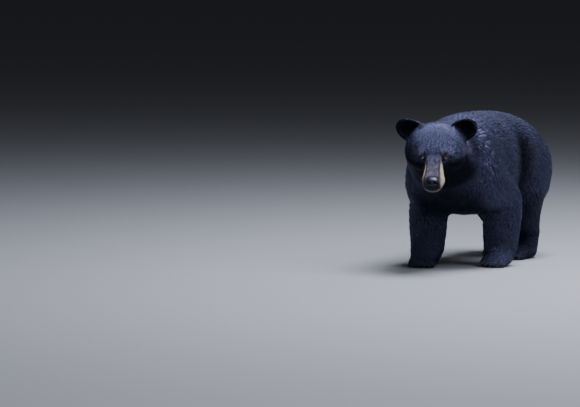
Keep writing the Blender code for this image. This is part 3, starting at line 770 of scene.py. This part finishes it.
def blended(values, corners, weights):
    """Values of the skin's vertices at the roots."""
    if values.ndim == 1:
        return np.sum(values[corners] * weights, axis=1)
    return np.sum(values[corners] * weights[:, :, None], axis=1)


def follow_skin(mesh, fields, root, normal, flow, length, turn):
    """Paths of the tufts along the skin, and the skin's normals on the way."""
    co, triangles = positions(mesh), triangle_corners(mesh)
    tree = BVHTree.FromPolygons(co.tolist(), triangles.tolist())
    cosine, sine = np.cos(turn)[:, None], np.sin(turn)[:, None]
    path, lifts = [root], [normal]
    for _ in range(TUFT_STEPS):
        flow = unit(along_surface(flow, normal))
        heading = flow * cosine + np.cross(normal, flow) * sine
        target = path[-1] + heading * (length / TUFT_STEPS)[:, None]
        found = [tree.find_nearest(p) for p in target]
        near = triangles[np.array([hit[2] for hit in found])]
        normal = unit(fields["normal"][near].mean(axis=1))
        flow = fields["flow"][near].mean(axis=1)
        path.append(np.array([hit[0] for hit in found]))
        lifts.append(normal)
    return path, lifts


def grow_coat(skin, label, fields):
    """All the tufts, as paths over the skin."""
    mesh = skin.data
    mesh.calc_loop_triangles()
    corners, weights, uv = sample_roots(mesh, fields)
    root = blended(positions(mesh), corners, weights)
    at_root = {key: blended(values, corners, weights) for key, values in fields.items()}
    count = len(root)
    part = label[corners[:, 0]]
    length = at_root["length"] * rng.uniform(0.78, 1.18, count)
    width = at_root["width"] * rng.uniform(0.75, 1.25, count)
    tone = rng.random(count)
    turn = rng.normal(0.0, 0.12, count) + 0.16 * waves(root, 38.0, 3)
    path, lifts = follow_skin(mesh, fields, root, unit(at_root["normal"]), at_root["flow"],
                              length, turn)
    leader, close = lock_leaders(root, width)
    of_lock, own = rng.uniform(0.62, 1.05, count)[leader], rng.uniform(0.72, 1.02, count)
    rise = at_root["depth"] * (of_lock * 0.6 + own * 0.4)
    stray = rng.random(count) < STRAY_SHARE
    rise = np.where(stray, rise * 1.25, rise)
    tone = 0.6 * tone[leader] + 0.4 * tone
    pull = np.where(close & ~stray, rng.uniform(0.30, 0.70, count), 0.0)
    pull *= np.where(in_parts(part, SHORT_COATS), 0.4, 1.0)
    centre = []
    for k, (point, lift) in enumerate(zip(path, lifts)):
        t = k / TUFT_STEPS
        point = point + (pull * t ** 1.3)[:, None] * (point[leader] - point)
        height = rise * (1.0 - (1.0 - t) ** 1.9) - 0.0006 * (1.0 - t)
        centre.append(point + lift * height[:, None])
    return {
        "centre": centre, "lift": lifts, "width": width, "uv": uv, "part": part, "root": root,
        "tan": at_root["tan"], "cream": at_root["cream"], "dull_and_shaded": at_root["dull_and_shaded"], "tone": tone,
        "roll": rng.normal(0.0, 0.35, count),
    }


def lock_leaders(root, width):
    """For each tuft, the tuft that its lock gathers to, and whether it is near enough."""
    leads = np.nonzero(rng.random(len(root)) < 1.0 / LOCK_TUFTS)[0]
    tree = KDTree(len(leads))
    for k, index in enumerate(leads):
        tree.insert(root[index], k)
    tree.balance()
    found = [tree.find(p) for p in root]
    leader = leads[np.array([hit[1] for hit in found])]
    away = np.array([hit[2] for hit in found])
    return leader, away < 2.6 * width


# rings of a tuft: step of the path and width there; the last is its tip
LONG_RINGS = ((0, 0.62), (1, 1.0), (2, 0.72), (3, 0.0))
SHORT_RINGS = ((0, 0.90), (2, 0.82), (3, 0.0))
SIDES = 3                   # corners of a tuft's cross-section


def tuft_mesh(name, tufts, chosen, profile):
    """One piece of coat: thin three-sided locks that end in a point."""
    count = len(chosen)
    centre = [c[chosen] for c in tufts["centre"]]
    lift = [n[chosen] for n in tufts["lift"]]
    width = tufts["width"][chosen]
    roll = tufts["roll"][chosen]
    cosine, sine = np.cos(roll)[:, None], np.sin(roll)[:, None]
    rings = []
    for step, share in profile[:-1]:
        tangent = unit(centre[step + 1] - centre[max(step - 1, 0)])
        across = unit(np.cross(tangent, lift[step]))
        up = np.cross(across, tangent)
        across, up = across * cosine + up * sine, up * cosine - across * sine
        half = (0.5 * share * width)[:, None]
        middle = centre[step]
        rings += [middle - across * half, middle + across * half, middle + up * half * 0.8]
    rings.append(centre[-1])
    steps = len(profile) - 1
    per_tuft = SIDES * steps + 1
    co = np.stack(rings, axis=1).reshape(-1, 3)
    pattern = []
    for k in range(steps - 1):
        for i in range(SIDES):
            a, b = SIDES * k + i, SIDES * k + (i + 1) % SIDES
            c, d = a + SIDES, b + SIDES
            pattern += [(a, b, d), (a, d, c)]
    last = SIDES * (steps - 1)
    for i in range(SIDES):
        pattern.append((last + i, last + (i + 1) % SIDES, per_tuft - 1))
    pattern.append((2, 1, 0))
    pattern = np.array(pattern, np.int32)
    faces = (pattern[None] + (np.arange(count) * per_tuft)[:, None, None]).reshape(-1)
    mesh = bpy.data.meshes.new(name)
    mesh.vertices.add(len(co))
    mesh.vertices.foreach_set("co", co.astype(np.float32).ravel())
    mesh.loops.add(len(faces))
    mesh.loops.foreach_set("vertex_index", faces.astype(np.int32))
    mesh.polygons.add(len(faces) // 3)
    mesh.polygons.foreach_set("loop_start", np.arange(0, len(faces), 3, dtype=np.int32))
    shade_smooth(mesh)
    mesh.update(calc_edges=True)
    across = np.append(np.tile((0.0, 1.0, 0.5), steps), 0.5)
    along = np.append(np.repeat([step / TUFT_STEPS for step, _ in profile[:-1]], SIDES), 1.0)
    patch = np.stack([across - 0.5, along - 0.5], axis=1) * PATCH
    uv = (tufts["uv"][chosen][:, None, :] + patch[None]).reshape(-1, 2)
    layer = mesh.uv_layers.new(name="OFBake")
    layer.data.foreach_set("uv", uv[faces].astype(np.float32).ravel())
    for key in MARKS:
        store(mesh, key, np.repeat(tufts[key][chosen], per_tuft))
    store(mesh, "along", np.tile(along, count))
    store(mesh, "across", np.tile(across, count))
    return new_object(name, mesh)


def make_coat(tufts, material):
    """The coat in pieces, part by part."""
    groups = {
        "coat_trunk": ("trunk",),
        "coat_neck": ("neck",),
        "coat_head": ("head",),
        "coat_face": ("muzzle", "jaw"),
        "coat_ears": ("ear",),
        "coat_forelegs": ("upper_arm", "forearm"),
        "coat_hindlegs": ("thigh", "shank", "tail"),
        "coat_forefeet": ("forepaw",),
        "coat_hindfeet": ("hindpaw",),
    }
    for name, parts in groups.items():
        chosen = np.nonzero(in_parts(tufts["part"], parts))[0]
        chosen = chosen[np.argsort(tufts["root"][chosen, 1], kind="stable")]
        share = max(1, math.ceil(len(chosen) / PIECE_TUFTS))
        profile = SHORT_RINGS if parts[0] in SHORT_COATS else LONG_RINGS
        for k, some in enumerate(np.array_split(chosen, share)):
            piece = tuft_mesh(f"{name}_{k + 1}" if share > 1 else name, tufts, some, profile)
            piece.data.materials.append(material)
            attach(piece, "root")


# ---- materials
def new_material(name):
    """A node material and its shader."""
    material = bpy.data.materials.new(name)
    material.use_nodes = True
    nodes = material.node_tree.nodes
    return material, nodes, material.node_tree.links, nodes["Principled BSDF"]


def attribute_node(nodes, name):
    """A named value of the mesh."""
    node = nodes.new("ShaderNodeAttribute")
    node.attribute_name = name
    return node.outputs["Fac"]


def ramp(nodes, links, source, stops):
    """A colour ramp fed by a value."""
    node = nodes.new("ShaderNodeValToRGB")
    elements = node.color_ramp.elements
    while len(elements) > 1:
        elements.remove(elements[-1])
    elements[0].position, elements[0].color = stops[0][0], (*stops[0][1], 1.0)
    for place, colour in stops[1:]:
        elements.new(place).color = (*colour, 1.0)
    links.new(source, node.inputs["Fac"])
    return node.outputs["Color"]


def mix(nodes, links, factor, first, second):
    """A colour between two."""
    node = nodes.new("ShaderNodeMix")
    node.data_type = "RGBA"
    for name, source in (("Factor", factor), ("A", first), ("B", second)):
        links.new(source, node.inputs[name])
    return node.outputs["Result"]


def spread_between(nodes, links, source, low, high):
    """A value of 0 to 1 spread between two others."""
    node = nodes.new("ShaderNodeMapRange")
    node.inputs["To Min"].default_value = low
    node.inputs["To Max"].default_value = high
    links.new(source, node.inputs["Value"])
    return node.outputs["Result"]


def weighted_sum(nodes, links, first, first_weight, second, second_weight):
    """The sum of two values, each times its weight."""
    product = nodes.new("ShaderNodeMath")
    product.operation = "MULTIPLY"
    product.inputs[1].default_value = second_weight
    links.new(second, product.inputs[0])
    total = nodes.new("ShaderNodeMath")
    total.operation = "MULTIPLY_ADD"
    total.inputs[1].default_value = first_weight
    links.new(first, total.inputs[0])
    links.new(product.outputs["Value"], total.inputs[2])
    return total.outputs["Value"]


def bump(nodes, links, height, shader, strength, distance):
    """Relief on a surface, fed by a value."""
    node = nodes.new("ShaderNodeBump")
    node.inputs["Strength"].default_value = strength
    node.inputs["Distance"].default_value = distance
    links.new(height, node.inputs["Height"])
    links.new(node.outputs["Normal"], shader.inputs["Normal"])
    return node


def object_space(nodes):
    """Places in the object's own space."""
    return nodes.new("ShaderNodeTexCoord").outputs["Object"]


def noise(nodes, links, place, scale, detail):
    """Noise over places."""
    node = nodes.new("ShaderNodeTexNoise")
    node.inputs["Scale"].default_value = scale
    node.inputs["Detail"].default_value = detail
    links.new(place, node.inputs["Vector"])
    return node.outputs["Fac"]


def hair_streaks(nodes, links):
    """Fine streaks along each tuft, like its single hairs, other ones in each tuft."""
    place = nodes.new("ShaderNodeCombineXYZ")
    for socket, name, scale, shift in (("X", "across", 5.0, 91.0), ("Y", "along", 0.8, 37.0)):
        shifted = weighted_sum(nodes, links, attribute_node(nodes, name), scale,
                               attribute_node(nodes, "tone"), shift)
        links.new(shifted, place.inputs[socket])
    return noise(nodes, links, place.outputs["Vector"], 1.0, 2.0)


def coat_colour(nodes, links, tone):
    """Black, a deeper black for duller hair and painted shade, with the brown and cream of the muzzle.
    """
    black = ramp(nodes, links, tone, ((0.15, BLACK_DARK), (0.85, BLACK_LIGHT)))
    # deeper black for the duller hair and the painted shade
    deep = ramp(nodes, links, tone, ((0.15, BLACK_DULL_AND_SHADED), (0.85, BLACK_DARK)))
    black = mix(nodes, links, attribute_node(nodes, "dull_and_shaded"), black, deep)
    brown = ramp(nodes, links, tone, ((0.15, MAUVE_DARK), (0.85, MAUVE_LIGHT)))
    cream = ramp(nodes, links, tone, ((0.15, CREAM_DARK), (0.85, CREAM_LIGHT)))
    brown = mix(nodes, links, attribute_node(nodes, "cream"), brown, cream)
    return mix(nodes, links, attribute_node(nodes, "tan"), black, brown)


def coat_material():
    """Glossy black hair, brown and cream on the muzzle; the blacks' blue cast and the blue-tinted
    gloss are a painted reflection of cool sky light.
    """
    material, nodes, links, shader = new_material("coat")
    streaks = hair_streaks(nodes, links)
    tone = weighted_sum(nodes, links, attribute_node(nodes, "tone"), 0.35, streaks, 0.65)
    links.new(coat_colour(nodes, links, tone), shader.inputs["Base Color"])
    links.new(spread_between(nodes, links, streaks, 0.30, 0.52), shader.inputs["Roughness"])
    bump(nodes, links, streaks, shader, 0.6, 0.0006)
    # blue-tinted gloss: a painted reflection of cool sky light
    shader.inputs["Specular Tint"].default_value = (0.56, 0.57, 1.0, 1.0)
    shader.inputs["IOR"].default_value = 1.62
    # duller hair and painted shade lose most of their gloss
    shine = spread_between(nodes, links, attribute_node(nodes, "dull_and_shaded"), 1.0, 0.08)
    links.new(shine, shader.inputs["Specular IOR Level"])
    return material


def skin_material():
    """Dark skin with the coat's markings, its painted shade and its painted brow highlights."""
    material, nodes, links, shader = new_material("skin")
    grain = noise(nodes, links, object_space(nodes), 160.0, 4.0)
    links.new(coat_colour(nodes, links, grain), shader.inputs["Base Color"])
    shader.inputs["Roughness"].default_value = 0.62
    shader.inputs["Specular IOR Level"].default_value = 0.15
    bump(nodes, links, grain, shader, 0.4, 0.001)
    return material


def nose_material():
    """Moist leathery black."""
    material, nodes, links, shader = new_material("nose")
    cells = nodes.new("ShaderNodeTexVoronoi")
    cells.inputs["Scale"].default_value = 700.0
    links.new(object_space(nodes), cells.inputs["Vector"])
    colour = ramp(nodes, links, cells.outputs["Distance"],
                  ((0.0, (0.010, 0.010, 0.012)), (0.7, (0.004, 0.004, 0.005))))
    black = nodes.new("ShaderNodeRGB").outputs["Color"]
    black.default_value = (0.001, 0.001, 0.001, 1.0)
    # painted shade in the nostrils and side slits: near black and matte
    hollow = attribute_node(nodes, "hollow")
    links.new(mix(nodes, links, hollow, colour, black), shader.inputs["Base Color"])
    links.new(spread_between(nodes, links, hollow, 0.42, 1.0), shader.inputs["Roughness"])
    shader.inputs["Specular IOR Level"].default_value = 0.42
    # blue-tinted gloss on the nose: a painted reflection of cool sky light
    shader.inputs["Specular Tint"].default_value = (0.80, 0.82, 1.0, 1.0)
    bump(nodes, links, cells.outputs["Distance"], shader, 0.5, 0.0006).invert = True
    return material


def eye_material():
    """Pupil, brown iris and dark white under a wet cornea."""
    material, nodes, links, shader = new_material("eye")
    colour = ramp(nodes, links, attribute_node(nodes, "off_axis"), (
        (0.0, (0.002, 0.002, 0.002)), (0.23, (0.002, 0.002, 0.002)), (0.26, (0.010, 0.005, 0.003)),
        (0.36, (0.024, 0.011, 0.005)), (0.46, (0.008, 0.004, 0.003)), (0.52, (0.005, 0.003, 0.003)),
        (0.62, (0.022, 0.015, 0.014)), (1.0, (0.010, 0.007, 0.007))))
    links.new(colour, shader.inputs["Base Color"])
    shader.inputs["Roughness"].default_value = 0.30
    shader.inputs["Specular IOR Level"].default_value = 0.2
    shader.inputs["Coat Weight"].default_value = 1.0
    shader.inputs["Coat Roughness"].default_value = 0.03
    shader.inputs["Coat IOR"].default_value = 1.75
    return material


def claw_material():
    """Horn: near black, with greyer clouds."""
    material, nodes, links, shader = new_material("claw")
    colour = ramp(nodes, links, noise(nodes, links, object_space(nodes), 90.0, 3.0),
                  ((0.3, (0.008, 0.008, 0.009)), (0.75, (0.034, 0.030, 0.027))))
    links.new(colour, shader.inputs["Base Color"])
    shader.inputs["Roughness"].default_value = 0.42
    shader.inputs["Specular IOR Level"].default_value = 0.25
    return material


# ---- small pieces
def make_eye(side_name, side, material):
    """An eyeball with a raised cornea."""
    centre = centre_of(f"eye_{side_name}")
    look = HEAD_TURN @ (EYE_LOOK * (side, 1.0, 1.0))
    look = look / np.linalg.norm(look)
    bm = bmesh.new()
    bmesh.ops.create_uvsphere(bm, u_segments=48, v_segments=32, radius=1.0)
    mesh = mesh_from(bm, f"eyeball_{side_name}")
    p = positions(mesh)
    angle = np.arccos(np.clip(p[:, 2], -1.0, 1.0))
    cornea = 0.045 * smoothstep(0.75, 0.25, angle)
    turn = np.array(Vector(look).to_track_quat("Z", "Y").to_matrix())
    p = (p * (EYE_RADIUS * (1.0 + cornea))[:, None]) @ turn.T + centre
    set_positions(mesh, p)
    shade_smooth(mesh)
    store(mesh, "off_axis", (angle / 1.571).clip(0.0, 1.0))
    eye = new_object(mesh.name, mesh)
    mesh.materials.append(material)
    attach(eye, "root")
    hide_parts(f"eye_{side_name}")


def make_nose(material):
    """The nose pad: nostrils like commas and a groove down the middle."""
    bm = bmesh.new()
    bmesh.ops.create_icosphere(bm, subdivisions=6, radius=1.0)
    mesh = mesh_from(bm, "nose_pad")
    p = positions(mesh)
    q = np.sign(p) * np.abs(p) ** (0.86, 0.72, 0.74) * NOSE_RADII
    # flatter front, narrower below
    q[:, 0] *= 1.0 - 0.24 * smoothstep(0.004, -0.018, q[:, 2])
    q[:, 1] = np.where(q[:, 1] < -0.014, -0.014 + 0.55 * (q[:, 1] + 0.014), q[:, 1])
    hollow = np.zeros(len(q))
    for s in BOTH_SIDES:
        hole = np.array((0.0112 * s, -0.017, 0.0045))
        away = (q - hole) / (0.0078, 0.011, 0.0080)
        deep = np.exp(-np.sum(away ** 2, axis=1))
        q[:, 1] += 0.011 * deep
        slit = np.array((0.0195 * s, -0.011, -0.0010))
        away = (q - slit) / (0.0065, 0.011, 0.0032)
        slope = np.exp(-np.sum(away ** 2, axis=1))
        q[:, 1] += 0.0045 * slope
        hollow = np.maximum(hollow, np.maximum(deep, slope))
    groove = np.exp(-(q[:, 0] / 0.0013) ** 2) * smoothstep(0.002, -0.006, q[:, 2])
    q[:, 1] += 0.0022 * groove * (q[:, 1] < 0.0)
    # marks the nostrils and side slits for their painted shade
    store(mesh, "hollow", smoothstep(0.25, 0.65, hollow))
    set_positions(mesh, from_head(q + NOSE_IN_HEAD))
    shade_smooth(mesh)
    mesh.materials.append(material)
    nose = new_object("nose_pad", mesh)
    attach(nose, "root")
    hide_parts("nose")


def make_claws(material):
    """All the claws, each rounded from its node."""
    names = sorted(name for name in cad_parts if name.startswith("claw"))
    bm = bmesh.new()
    for name in names:
        bm.from_mesh(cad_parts[name].data)
    bmesh.ops.remove_doubles(bm, verts=bm.verts, dist=1e-6)
    claws = new_object("claws", mesh_from(bm, "claws"))
    rounder = claws.modifiers.new("round", "SUBSURF")
    rounder.levels = 2
    rounder.render_levels = 2
    claws.data = applied(claws)
    claws.modifiers.clear()
    shade_smooth(claws.data)
    claws.data.materials.clear()
    claws.data.materials.append(material)
    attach(claws, "root")
    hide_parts(*names)


# ---- build
skin, skin_label, skin_fields = make_skin()
skin.data.materials.clear()
skin.data.materials.append(skin_material())
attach(skin, "root")
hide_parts(*FLESH)

make_coat(grow_coat(skin, skin_label, skin_fields), coat_material())
eye_finish = eye_material()
for eye_side, sign in (("left", 1.0), ("right", -1.0)):
    make_eye(eye_side, sign, eye_finish)
make_nose(nose_material())
make_claws(claw_material())


# ---- stage, light, camera
def make_floor():
    """A wide pale floor."""
    bm = bmesh.new()
    bmesh.ops.create_grid(bm, x_segments=1, y_segments=1, size=400.0)
    floor = new_object("floor", mesh_from(bm, "floor"))
    material, _, _, shader = new_material("floor")
    shader.inputs["Base Color"].default_value = (0.21, 0.21, 0.21, 1.0)
    shader.inputs["Roughness"].default_value = 0.85
    floor.data.materials.append(material)


def area_light(name, place, target, size, power, colour):
    """A soft square light that points at a target."""
    data = bpy.data.lights.new(name, "AREA")
    data.shape = "SQUARE"
    data.size = size
    data.energy = power
    data.color = colour
    obj = bpy.data.objects.new(name, data)
    obj.location = place
    aim = Vector(target) - Vector(place)
    obj.rotation_euler = aim.to_track_quat("-Z", "Y").to_euler()
    obj.visible_camera = False
    bpy.context.scene.collection.objects.link(obj)


def make_world():
    """Dim soft light from all round, darkest at the horizon where the floor ends."""
    world = bpy.data.worlds.new("studio")
    world.use_nodes = True
    nodes, links = world.node_tree.nodes, world.node_tree.links
    background = nodes["Background"]
    place = nodes.new("ShaderNodeTexCoord")
    split = nodes.new("ShaderNodeSeparateXYZ")
    links.new(place.outputs["Generated"], split.inputs["Vector"])
    colour = ramp(nodes, links, split.outputs["Z"], (
        (0.0, (0.0085, 0.0090, 0.0100)), (0.10, (0.012, 0.013, 0.015)), (0.60, (0.050, 0.054, 0.062))))
    links.new(colour, background.inputs["Color"])
    background.inputs["Strength"].default_value = 1.0
    bpy.context.scene.world = world


def make_camera():
    """Long lens, low, from the bear's left front; the bear stands right of the middle."""
    azimuth, elevation, distance = math.radians(25.0), math.radians(6.0), 14.0
    pan, tilt = math.radians(3.5722), math.radians(1.1012)
    aim = Vector(HEAD_ORIGIN - HEAD_FROM_AIM)
    back = Vector((math.sin(azimuth) * math.cos(elevation),
                   -math.cos(azimuth) * math.cos(elevation), math.sin(elevation)))
    data = bpy.data.cameras.new("camera")
    data.sensor_width, data.lens = 36.0, 188.907
    data.clip_end = 200.0
    camera = bpy.data.objects.new("camera", data)
    camera.location = aim + back * distance
    heading, pitch = azimuth + pan, elevation - tilt
    forward = Vector((-math.sin(heading) * math.cos(pitch), math.cos(heading) * math.cos(pitch),
                      -math.sin(pitch)))
    camera.rotation_euler = forward.to_track_quat("-Z", "Y").to_euler()
    bpy.context.scene.collection.objects.link(camera)
    bpy.context.scene.camera = camera


make_floor()
make_world()
MIDDLE, FACE = (0.0, 0.0, 0.4), (0.0, -0.5, 0.5)
# name, place, target, size, watts, colour
area_light("top", (1.2, -0.2, 4.7), MIDDLE, 2.2, 750.0, (0.80, 0.84, 1.0))
area_light("side", (3.2, -0.6, 3.4), MIDDLE, 2.0, 150.0, (0.80, 0.84, 1.0))
area_light("back", (0.8, 4.0, 3.2), MIDDLE, 2.4, 40.0, (0.82, 0.85, 1.0))
area_light("eyes", (2.6, -6.9, 1.7), FACE, 1.6, 95.0, (0.95, 0.96, 1.0))
make_camera()
